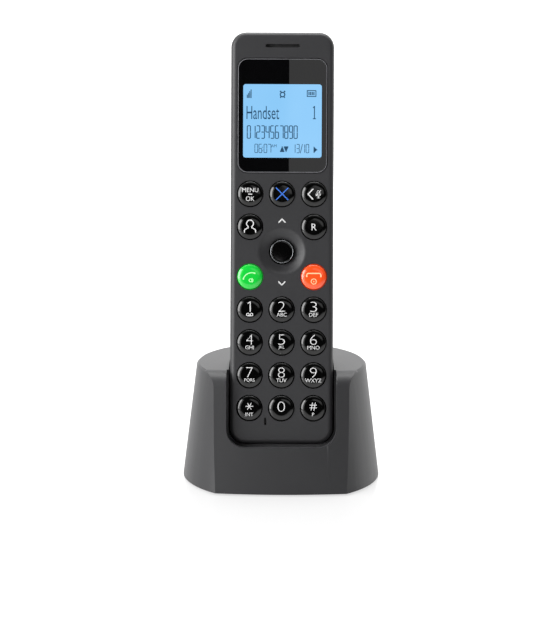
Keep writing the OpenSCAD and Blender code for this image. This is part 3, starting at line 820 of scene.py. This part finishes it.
@dataclass
class Keypad:
    """The nineteen round keys and their marks."""

    space: HandsetSpace
    cap_radius: float = 5.3
    flat_radius: float = 2.9
    crown: float = 0.02
    shoulder: float = 0.75
    edge: float = 0.3
    digit_height: float = 4.3
    letter_height: float = 1.6
    cross_reach: float = 2.6
    thinning: float = -0.1

    def surface(self, top: float) -> Callable[[float, float], float]:
        """Height of a cap's top at a place on it.

        Args:
            top: Height of the cap's middle.

        Returns:
            A function of the place, from the cap's centre.
        """
        def height(x: float, y: float) -> float:
            """Height of the slightly crowned middle, or of the shoulder round it."""
            away = math.hypot(x, y)
            slope = max(away - self.flat_radius, 0) / (self.cap_radius - self.flat_radius)
            return top - self.crown * min(away / self.flat_radius, 1) ** 2 - self.shoulder * slope ** 2

        return height

    def cap(self, low: float, top: float) -> Shape:
        """Turn one key: stem, flange, skirt, round shoulder and slightly crowned top.

        Args:
            low: Lower end of the stem.
            top: Height of the cap's middle.

        Returns:
            The key.
        """
        height = self.surface(top)
        brow = self.cap_radius - self.edge
        tilt = math.atan2(height(brow - 0.01, 0) - height(brow + 0.01, 0), 0.02)
        radius = self.edge / (1 - math.sin(tilt))
        rim = height(brow, 0) - radius * math.cos(tilt)
        profile = [(1.7, low), (1.7, -2.9), (6.1, -2.9), (6.1, -2.1), (5.2, -2.1), (5.2, -1.9),
                   (self.cap_radius, -1.9), (self.cap_radius, rim)]
        for step in range(1, 7):
            turn = (math.pi / 2 - tilt) * step / 6
            profile.append((self.cap_radius - radius * (1 - math.cos(turn)), rim + radius * math.sin(turn)))
        for step in range(1, 20):
            place = brow * (1 - step / 20)
            profile.append((place, height(place, 0)))
        profile.append((0, top))
        key = turned(profile)
        shaded(key, 35)
        return key

    def marks(self, name: str) -> tuple[KeyKind, list[Shape]]:
        """Draw the flat marks of one key, round its centre.

        Args:
            name: CAD node of the key.

        Returns:
            The key's kind and its marks.
        """
        letters = {"2": "ABC", "3": "DEF", "4": "GHI", "5": "JKL", "6": "MNO", "7": "PQRS", "8": "TUV",
                   "9": "WXYZ"}
        stroke = 0.5
        sign = name.removeprefix("key_")
        if sign in letters:
            return KeyKind.DIGIT, [
                lettering(sign, self.digit_height, (0, 1.25), 2.9, self.thinning),
                lettering(letters[sign], self.letter_height, (0, -2.1))]
        if sign == "1":
            middle = 1.25
            half = self.digit_height / 2
            return KeyKind.DIGIT, [
                bar((0.2, middle - half), (0.2, middle + half), 0.44),
                bar((-0.9, middle + half * 0.62), (0.25, middle + half * 0.95), 0.4),
                arc((-0.8, -2.1), 0.55, 0.32), arc((0.8, -2.1), 0.55, 0.32),
                bar((-0.8, -2.65), (0.8, -2.65), 0.3)]
        if sign == "0":
            return KeyKind.DIGIT, [lettering("0", self.digit_height, (0, 0.7), 3.15, self.thinning)]
        if sign == "star":
            spokes = [bar((0, 0.8), (1.6 * math.cos(a), 0.8 + 1.6 * math.sin(a)), stroke * 0.62)
                      for a in (math.radians(60 * k) for k in range(6))]
            return KeyKind.DIGIT, [*spokes, lettering("INT", 1.5, (0, -2.6), 3.3)]
        if sign == "hash":
            lines = [bar((x - 0.3, -0.9), (x + 0.3, 2.5), stroke * 0.62) for x in (-0.6, 0.6)]
            lines += [bar((-1.5, y), (1.5, y), stroke * 0.62) for y in (0.25, 1.4)]
            return KeyKind.DIGIT, [*lines, lettering("P", 1.5, (0, -2.5))]
        if sign == "menu":
            return KeyKind.DIGIT, [
                lettering("MENU", 1.8, (0, 1.6), 6.9), bar((-0.85, -0.15), (0.85, -0.15), 0.42),
                lettering("OK", 2.0, (0, -2.1), 3.6)]
        if sign == "cross":
            steps = [-self.cross_reach + self.cross_reach * k / 4 for k in range(9)]
            strokes = [(bar((a, a), (b, b), 0.42), bar((a, -a), (b, -b), 0.42))
                       for a, b in zip(steps, steps[1:])]
            return KeyKind.CROSS, [shape for pair in strokes for shape in pair]
        if sign == "back":
            chevron = [bar((-0.4, 2.2), (-2.65, -0.1), stroke), bar((-2.75, 0.1), (-0.4, -2.3), stroke)]
            capsule = [arc((1.8, 0.9), 0.55, 0.22, 0, 180), bar((1.25, 0.9), (1.25, 0.1), 0.22),
                       bar((2.35, 0.9), (2.35, 0.1), 0.22), arc((1.8, 0.1), 0.55, 0.22, 180, 180)]
            stand = [arc((1.8, 0.1), 1.0, 0.2, 180, 180), bar((1.8, -0.9), (1.8, -1.6), 0.22),
                     bar((1.2, -1.65), (2.4, -1.65), 0.22), bar((0.75, -0.9), (2.9, 1.7), 0.22)]
            return KeyKind.DIGIT, [*chevron, *capsule, *stand]
        if sign == "contacts":
            head = arc((0, 1.35), 1.45, 0.42, -58, 296)
            neck = [bar((-0.77, 0.12), (-0.7, -0.5), 0.42), bar((0.77, 0.12), (0.7, -0.5), 0.42)]
            arms = [bar((-0.68, -0.35), (-1.75, -1.0), 0.42), bar((0.68, -0.35), (1.75, -1.0), 0.42)]
            sides = [arc((-1.2, -2.0), 1.2, 0.42, 110, 70), arc((1.2, -2.0), 1.2, 0.42, 0, 70)]
            ends = [bar((-2.4, -2.0), (-2.4, -2.5), 0.42), bar((2.4, -2.0), (2.4, -2.5), 0.42)]
            return KeyKind.DIGIT, [head, *neck, *arms, *sides, *ends]
        if sign == "recall":
            return KeyKind.DIGIT, [lettering("R", 2.8, (0, 0), 2.1)]
        if sign == "talk":
            handset = [arc((0.9, -2.2), 3.9, 0.42, 78, 78), bar((-2.66, -0.5), (-2.75, -1.25), 0.55),
                       bar((1.55, 1.62), (2.3, 1.35), 0.6)]
            speaker = [arc((0.3, -1.55), 0.62, 0.34), arc((0.3, -1.55), 1.05, 0.26, -60, 120)]
            return KeyKind.TALK, [*handset, *speaker]
        handset = [bar((-2.2, 1.5), (2.2, 1.5), 0.5), arc((-2.2, 0.7), 0.8, 0.5, 90, 90),
                   arc((2.2, 0.7), 0.8, 0.5, 0, 90), bar((-3.0, 0.7), (-3.0, -0.1), 0.6),
                   bar((3.0, 0.7), (3.0, -0.1), 0.6)]
        return KeyKind.END, [*handset, arc((0, -1.95), 1.1, 0.36), bar((0, -1.6), (0, -2.3), 0.36)]

    def build(self) -> None:
        """Copy the key to every place, print its marks and tie both to the key's body."""
        names = [f"key_{s}" for s in (*"123456789", "star", "0", "hash", "menu", "cross", "back",
                                       "contacts", "recall", "talk", "end")]
        low, high = self.space.box(names[0])
        master = self.cap(low.z, high.z)
        for name in names:
            low, high = self.space.box(name)
            place = self.space.matrix @ Matrix.Translation(((low + high) / 2 * MM).to_2d().to_3d())
            kind, shapes = self.marks(name)
            cap_dress, ink, slot = kind.value
            key = bpy.data.objects.new(name + "_cap", master.data.copy())
            bpy.context.scene.collection.objects.link(key)
            settle(key, place)
            belongs(key, name + "_cap", name, slot, cap_dress, name)
            legend = printed(shapes, self.surface(high.z), cuts=2)
            settle(legend, place)
            belongs(legend, name + "_legend", name, slot, ink)
            if name == "key_5":
                nub = turned([(0.42, high.z - 0.95), (0.42, high.z - 0.5), (0.36, high.z - 0.34),
                              (0.2, high.z - 0.25), (0, high.z - 0.22)], 24)
                settle(nub, place @ Matrix.Translation((0, -4.75 * MM, 0)))
                belongs(nub, "key_5_nub", name, slot, cap_dress)
        bpy.data.objects.remove(master, do_unlink=True)
        log.info("keypad: %d keys", len(names))


@dataclass
class Navigator:
    """The navigation button with its bright ring, and the two arrows printed beside its dish."""

    space: HandsetSpace
    ring_width: float = 0.4
    hollow: float = 0.12
    arrow_up: float = 94.3
    arrow_down: float = 67.8

    def build(self) -> None:
        """Build the button, dress the ring and print the arrows."""
        low, high = self.space.box("nav_button")
        ring_low, ring_high = self.space.box("nav_ring")
        outer = (ring_high.x - ring_low.x) / 2
        inner = outer - self.ring_width
        top = high.z
        profile = [(6.2, low.z + 1.2), (6.2, low.z + 1.95), (outer - 0.05, low.z + 1.95),
                   (outer - 0.05, ring_low.z - 0.02), (inner - 0.02, ring_low.z - 0.02),
                   (inner - 0.02, top - 0.15), (inner - 0.08, top - 0.05), (inner - 0.2, top)]
        for share in (0.85, 0.65, 0.45, 0.25, 0.08):
            profile.append((inner * share, top - self.hollow * (1 - share ** 2)))
        profile.append((0, top - self.hollow))
        button = turned(profile)
        shaded(button, 40)
        centre = (low + high) / 2
        place = self.space.matrix @ Matrix.Translation((centre.x * MM, centre.y * MM, 0))
        settle(button, place)
        belongs(button, "nav_button_top", "nav", "key_black", Dress.KEY_BLACK, "nav_button")
        crest = self.ring_width / 2
        rim = [(outer - crest - crest * math.cos(a), ring_high.z - crest + crest * math.sin(a))
               for a in (math.radians(15 * k) for k in range(13))]
        ring = turned([(inner, ring_low.z), *rim[::-1], (outer, ring_low.z), (inner, ring_low.z)],
                      open_middle=True)
        shaded(ring, 40)
        settle(ring, place)
        belongs(ring, "nav_ring_crest", "nav", "ring_metal", Dress.RING, "nav_ring")
        for name, y, way in (("arrow_up", self.arrow_up, 1), ("arrow_down", self.arrow_down, -1)):
            tip = 0.95 * way
            sides = [bar((-1.45 * side, -tip * 0.75), (0.14 * side, tip), 0.5) for side in (1, -1)]
            arrow = printed(sides, lambda x, y: 0.0, cuts=0)
            settle(arrow, self.space.matrix @ Matrix.Translation((0, y * MM, 0)))
            belongs(arrow, name, "handset", "handset_plastic", Dress.INK_WHITE)
        log.info("navigator: button and arrows")


@dataclass
class Display:
    """The lens, the lit display behind its window, and what the display shows."""

    space: HandsetSpace
    window_width: float = 33.4
    window_length: float = 31.2
    window_corner: float = 1.1
    window_y: float = 136.8
    glass_depth: float = 0.06
    lens_corner: float = 4.2
    lens_bevel: float = 0.3

    def build(self) -> None:
        """Build the lens round its window, the lit sheet in it, and the signs on the sheet."""
        low, high = self.space.box("display_lens")
        middle = (low + high) / 2
        wide, long = high.x - low.x, high.y - low.y
        # The outer ring of the lens is dressed light grey, a painted highlight along the lens's bevel.
        ring = plate(wide, long, self.lens_corner, low.z, high.z, (0, middle.y))
        inside = (wide - 2 * self.lens_bevel, long - 2 * self.lens_bevel, self.lens_corner - self.lens_bevel)
        with editing(ring, "EDGE"):
            pick_edges(ring, lambda e: all(v.co.z > (high.z - 0.01) * MM for v in e.verts))
            bpy.ops.mesh.bevel(offset=self.lens_bevel * 0.7 * MM, segments=2, affect="EDGES")
        cut_out(ring, plate(*inside, low.z - 1, high.z + 1, (0, middle.y)))
        smoothed(ring, 30)
        settle(ring, self.space.matrix)
        belongs(ring, "display_lens_painted_highlight_rim", "handset", "lens", Dress.LENS_EDGE)
        lens = plate(*inside, low.z, high.z, (0, middle.y))
        cut_out(lens, plate(self.window_width, self.window_length, self.window_corner,
                            low.z - 1, high.z + 1, (0, self.window_y)))
        settle(lens, self.space.matrix)
        belongs(lens, "display_lens_black", "handset", "lens", Dress.LENS_BLACK, "display_lens")
        sheet = plate(self.window_width - 0.04, self.window_length - 0.04, self.window_corner,
                      low.z, high.z - self.glass_depth, (0, self.window_y))
        settle(sheet, self.space.matrix)
        belongs(sheet, "display_lit", "handset", "display_blue", Dress.LCD_LIT)
        signs = printed(self.signs(), lambda x, y: high.z - self.glass_depth, thick=0.012, cuts=0)
        settle(signs, self.space.matrix)
        belongs(signs, "display_signs", "handset", "display_blue", Dress.LCD_DARK)
        log.info("display: lens, lit sheet, signs")

    def segments(self, text: str, left: float, base: float, height: float, width: float,
                 pitch: float) -> list[Shape]:
        """Draw digits out of seven segments.

        Args:
            text: The digits.
            left: Left edge of the first digit.
            base: Lower edge of the digits.
            height: Height of a digit.
            width: Width of a digit.
            pitch: Distance from one digit to the next.

        Returns:
            The segments.
        """
        lit = {"0": "abcdef", "1": "bc", "2": "abged", "3": "abgcd", "4": "fgbc", "5": "afgcd",
               "6": "afgedc", "7": "abc", "8": "abcdefg", "9": "abcdfg"}
        stroke = height * 0.075
        half, gap = height / 2, stroke * 0.2
        shapes: list[Shape] = []
        for place, digit in enumerate(text):
            x0 = left + place * pitch
            x1 = x0 + width
            lines = {
                "a": ((x0 + gap, base + height), (x1 - gap, base + height)),
                "b": ((x1, base + half + gap), (x1, base + height - gap)),
                "c": ((x1, base + gap), (x1, base + half - gap)),
                "d": ((x0 + gap, base), (x1 - gap, base)),
                "e": ((x0, base + gap), (x0, base + half - gap)),
                "f": ((x0, base + half + gap), (x0, base + height - gap)),
                "g": ((x0 + gap, base + half), (x1 - gap, base + half))}
            shapes += [bar(*lines[name], stroke) for name in lit[digit]]
        return shapes

    def signs(self) -> list[Shape]:
        """Draw what the display shows: signal, alarm, battery, a name, a number, time and date.

        Returns:
            The flat shapes.
        """
        left, top = -15.1, 150.4
        clock_y, battery_y, name_y, number_y, time_y = top - 2.4, top - 1.9, 140.3, 129.4, 123.3
        digit, digit_width, digit_pitch = 3.6, 1.2, 1.75
        signal = [bar((left + 0.1 + 0.54 * k, top - 3.9), (left + 0.1 + 0.54 * k, top - 2.5 + 0.75 * k), 0.38)
                  for k in range(4)]
        clock = [arc((0, clock_y), 0.95, 0.5)]
        for side in (-1, 1):
            clock += [bar((1.15 * side, clock_y + 1.15), (0.55 * side, clock_y + 1.5), 0.6),
                      bar((0.6 * side, clock_y - 0.9), (1.0 * side, clock_y - 1.4), 0.45)]
        box_left, box_right = 10.5, 14.2
        battery = [bar((box_left, y), (box_right, y), 0.36) for y in (battery_y + 1.25, battery_y - 1.25)]
        battery += [bar((x, battery_y - 1.35), (x, battery_y + 1.35), 0.36) for x in (box_left, box_right)]
        battery += [bar((x, battery_y - 0.7), (x, battery_y + 0.7), 0.46)
                    for x in (box_left + 0.75 + 0.7 * k for k in range(4))]
        name = [lettering("Handset", 5.6, (-8.35, name_y), 13.9),
                bar((13.6, name_y - 2.5), (13.6, name_y + 2.9), 0.4),
                bar((13.0, name_y + 2.1), (13.65, name_y + 2.8), 0.4),
                bar((12.95, name_y - 2.5), (14.25, name_y - 2.5), 0.4)]
        number = self.segments("01234567890", left + 0.15, number_y, 5.3, 1.36, 1.99)
        time = self.segments("06", left + 3.4, time_y, digit, digit_width, digit_pitch)
        time += self.segments("07", left + 7.3, time_y, digit, digit_width, digit_pitch)
        time += [bar((left + 6.55, y - 0.17), (left + 6.55, y + 0.17), 0.3)
                 for y in (time_y + 0.8, time_y + 2.3)]
        date = self.segments("13", 4.3, time_y, digit, digit_width - 0.05, digit_pitch)
        date += self.segments("10", 8.35, time_y, digit, digit_width - 0.05, digit_pitch)
        slash = [bar((7.65, time_y - 0.2), (8.55, time_y + 3.7), 0.28)]
        arrows: list[Shape] = []
        for x, halves in ((-0.05, (0.95, 0.7, 0.45, 0.2)), (1.6, (0.2, 0.45, 0.7, 0.95))):
            arrows += [bar((x - half, time_y + 0.6 + 0.6 * k), (x + half, time_y + 0.6 + 0.6 * k), 0.61)
                       for k, half in enumerate(halves)]
        arrows += [bar((13.5 + 0.4 * k, time_y + 1.3 - half), (13.5 + 0.4 * k, time_y + 1.3 + half), 0.42)
                   for k, half in enumerate((1.3, 0.9, 0.5, 0.2))]
        noon = [lettering("AM", 1.2, (-3.6, time_y + 2.9), 2.3)]
        return [*signal, *clock, *battery, *name, *number, *time, *date, *slash, *arrows, *noon]


@dataclass
class HandsetShell:
    """The two covers of the handset and the battery cover."""

    edge: float = 0.13

    def build(self) -> None:
        """Refine and dress the covers."""
        covers = (("front_cover", "handset", self.edge), ("rear_cover", "handset", self.edge),
                  ("battery_door", "battery_door", self.edge))
        for node, body, bevel in covers:
            skin = refined_copy(node, bevel)
            belongs(skin, node + "_skin", body, "handset_plastic", Dress.HANDSET_ABS, node)
            log.info("%s: %d faces", node, len(skin.data.polygons))


@dataclass
class BaseShell:
    """The base's cover, page button and the sign on it."""

    edge: float = 0.3
    corner_x: float = 26.0
    corner_y: float = 12.0
    corner_round: float = 1.6

    def build(self) -> None:
        """Refine and dress the cover and the page button."""
        low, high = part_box("base_cover")

        def front_corner(edge: bmesh.types.BMEdge) -> bool:
            """True for the edges where the front face meets the round sides."""
            middle = (edge.verts[0].co + edge.verts[1].co) / 2
            inside = low[2] + 0.2 * MM < middle.z < high[2] - 0.4 * MM
            return (inside and abs(middle.x) > self.corner_x * MM and middle.y < -self.corner_y * MM
                    and len(edge.link_faces) == 2 and edge.calc_face_angle_signed() > math.radians(18))

        skin = refined_copy("base_cover", self.edge, segments=3, first=(front_corner, self.corner_round))
        belongs(skin, "base_cover_skin", "base", "base_plastic", Dress.BASE_ABS, "base_cover")
        button = refined_copy("page_button", 0.25, segments=3)
        belongs(button, "page_button_skin", "page_button", "base_plastic", Dress.BASE_ABS, "page_button")
        low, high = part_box("page_button")
        waves = printed([arc((0, -0.9), 0.5, 0.4), arc((0, -0.9), 1.4, 0.35, 45, 90),
                         arc((0, -0.9), 2.3, 0.35, 45, 90)], lambda x, y: 0.0, cuts=0)
        turn = Matrix.Rotation(math.pi, 4, "Z") @ Matrix.Rotation(math.pi / 2, 4, "X")
        settle(waves, Matrix.Translation((0, high[1], (low[2] + high[2]) / 2)) @ turn)
        belongs(waves, "page_button_sign", "page_button", "base_plastic", Dress.INK_WHITE)
        log.info("base cover: %d faces", len(skin.data.polygons))


CARRIED_OVER: dict[str, Dress] = {
    "base_bottom": Dress.INNER_ABS, "rubber_feet": Dress.FOOT_RUBBER, "base_screws": Dress.STEEL,
    "base_board": Dress.BOARD, "base_board_parts": Dress.CHIP, "ballast_plate": Dress.BALLAST,
    "dc_jack": Dress.NYLON, "line_jack": Dress.NYLON, "contact_block": Dress.INNER_ABS,
    "charge_contact_left": Dress.GOLD, "charge_contact_right": Dress.GOLD, "page_switch": Dress.SPEAKER,
    "display_panel": Dress.LCD_LIT, "backlight_plate": Dress.BACKLIGHT, "display_frame": Dress.INNER_ABS,
    "earpiece_mesh": Dress.MESH, "earpiece_speaker": Dress.SPEAKER, "microphone": Dress.CHIP,
    "main_board": Dress.BOARD, "shield_can": Dress.STEEL, "dome_contacts": Dress.STEEL,
    "keypad_mat": Dress.SILICONE, "battery_left": Dress.CELL,
    "battery_right": Dress.CELL, "battery_springs": Dress.STEEL, "battery_plates": Dress.STEEL,
    "handset_contacts": Dress.GOLD, "rear_screws": Dress.STEEL, "ringer_speaker": Dress.SPEAKER}


def dress_cad_nodes() -> None:
    """Give the CAD nodes that stay their finishes."""
    for node, dress in CARRIED_OVER.items():
        dressed(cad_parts[node], dress)
    log.info("carried over: %d nodes", len(CARRIED_OVER))


@dataclass
class Studio:
    """A white table with a curved backdrop, soft lights and the camera."""

    table: float = 3000.0
    table_glow: float = 0.64
    backdrop_glow: float = 1.8
    backdrop: float = 1500.0
    distance: float = 800.0
    pitch: float = 11.764
    roll: float = 0.232
    dark_side: tuple[float, float] = (-0.1, 0.6)
    room_dark: float = 0.02
    room_light: float = 1.2
    focal: float = 107.06
    target: tuple[float, float, float] = (-0.715, -4.25, 73.66)

    def build_table(self) -> None:
        """Build the table and its backdrop as one swept sheet."""
        bpy.ops.object.select_all(action="DESELECT")
        bpy.ops.mesh.primitive_plane_add(size=self.table * MM, location=(0, 0, 0))
        sheet = bpy.context.object
        sheet.name = "studio_table"
        half = self.table * MM / 2
        with editing(sheet, "EDGE"):
            pick_edges(sheet, lambda e: all(v.co.y > half * 0.9 for v in e.verts))
            bpy.ops.mesh.extrude_edges_move(TRANSFORM_OT_translate={"value": (0, 0, self.backdrop * MM)})
            pick_edges(sheet, lambda e: all(v.co.y > half * 0.9 and v.co.z < 0.001 for v in e.verts))
            bpy.ops.mesh.bevel(offset=600 * MM, segments=24, affect="EDGES")
        take(sheet)
        bpy.ops.object.shade_smooth()
        material, tree, place = new_material("white_acrylic_table")
        haze = add_node(tree, "ShaderNodeTexNoise", {"Vector": place, "Scale": 8.0, "Detail": 1.0})
        gloss = add_node(tree, "ShaderNodeMapRange", {
            "Value": haze.outputs["Fac"], "To Min": 0.1, "To Max": 0.16})
        depth = add_node(tree, "ShaderNodeSeparateXYZ", {"Vector": place})
        glow = add_node(tree, "ShaderNodeMapRange", {
            "Value": depth.outputs["Y"], "From Min": 0.3, "From Max": 1.4,
            "To Min": self.table_glow, "To Max": self.backdrop_glow})
        close_material(tree, {
            "Base Color": linear_colour("#8a8a8a"), "Roughness": gloss.outputs["Result"], "IOR": 1.45,
            "Emission Color": linear_colour("#ffffff"), "Emission Strength": glow.outputs["Result"]})
        sheet.data.materials.append(material)

    def add_light(self, name: str, place: Sequence[float], size: Point, power: float,
                  aim: Sequence[float] = (0, 0, 90)) -> None:
        """Hang one softbox.

        Args:
            name: Name of the light.
            place: Where it hangs.
            size: Its width and height.
            power: Its power in watts.
            aim: The point it faces.
        """
        data = bpy.data.lights.new(name, "AREA")
        data.shape = "RECTANGLE"
        data.size, data.size_y = size[0] * MM, size[1] * MM
        data.energy = power
        lamp = bpy.data.objects.new(name, data)
        bpy.context.scene.collection.objects.link(lamp)
        lamp.location = Vector(place) * MM
        lamp.rotation_euler = (Vector(aim) - Vector(place)).to_track_quat("-Z", "Y").to_euler()

    def build_lights(self) -> None:
        """Hang the softboxes and set the room's own light."""
        self.add_light("softbox_left", (-880, -470, 420), (700, 800), 13)
        self.add_light("softbox_top", (0, 250, 1200), (900, 700), 12)
        self.add_light("softbox_right", (1000, 400, 350), (300, 900), 2)
        self.add_light("card_left", (-560, -700, 330), (320, 620), 0.8)
        self.add_light("card_front", (306.6, -790, 480), (600, 300), 0.42, (306.6, 0, 300))
        world = bpy.data.worlds.new("studio_room")
        world.use_nodes = True
        tree = world.node_tree
        tree.nodes.clear()
        place = add_node(tree, "ShaderNodeTexCoord")
        away = add_node(tree, "ShaderNodeVectorMath", {0: place.outputs["Generated"], 1: (0, 0.85, 0.5)},
                        operation="DOT_PRODUCT")
        depth = add_node(tree, "ShaderNodeMapRange", {
            "Value": away.outputs["Value"], "From Min": self.dark_side[0], "From Max": self.dark_side[1],
            "To Min": self.room_dark, "To Max": self.room_light})
        sky = add_node(tree, "ShaderNodeBackground", {
            "Color": (1, 1, 1, 1), "Strength": depth.outputs["Result"]})
        add_node(tree, "ShaderNodeOutputWorld", {"Surface": sky.outputs["Background"]})
        bpy.context.scene.world = world

    def build_camera(self) -> None:
        """Set the camera at the height and tilt of a seated viewer."""
        pitch, roll = math.radians(self.pitch), math.radians(self.roll)
        forward = Vector((0, math.cos(pitch), -math.sin(pitch)))
        up = Vector((0, math.sin(pitch), math.cos(pitch)))
        right = Vector((1, 0, 0))
        x_axis = right * math.cos(roll) + up * math.sin(roll)
        y_axis = up * math.cos(roll) - right * math.sin(roll)
        place = (Vector(self.target) - forward * self.distance) * MM
        data = bpy.data.cameras.new("camera")
        data.lens = self.focal
        data.sensor_width = 36
        data.clip_start, data.clip_end = 0.01, 20
        camera = bpy.data.objects.new("camera", data)
        bpy.context.scene.collection.objects.link(camera)
        camera.matrix_world = Matrix((
            (x_axis.x, y_axis.x, -forward.x, place.x), (x_axis.y, y_axis.y, -forward.y, place.y),
            (x_axis.z, y_axis.z, -forward.z, place.z), (0, 0, 0, 1)))
        bpy.context.scene.camera = camera

    def build(self) -> None:
        """Build table, lights and camera."""
        self.build_table()
        self.build_lights()
        self.build_camera()
        bpy.context.scene.view_settings.view_transform = "Standard"
        log.info("studio: table, lights, camera")


def main() -> None:
    """Build every sub-assembly in order."""
    logging.basicConfig(level=logging.INFO, format="%(name)s: %(message)s")
    Studio().build()
    space = HandsetSpace()
    dress_cad_nodes()
    BaseShell().build()
    HandsetShell().build()
    Display(space).build()
    Keypad(space).build()
    Navigator(space).build()


if __name__ == "__main__":
    main()
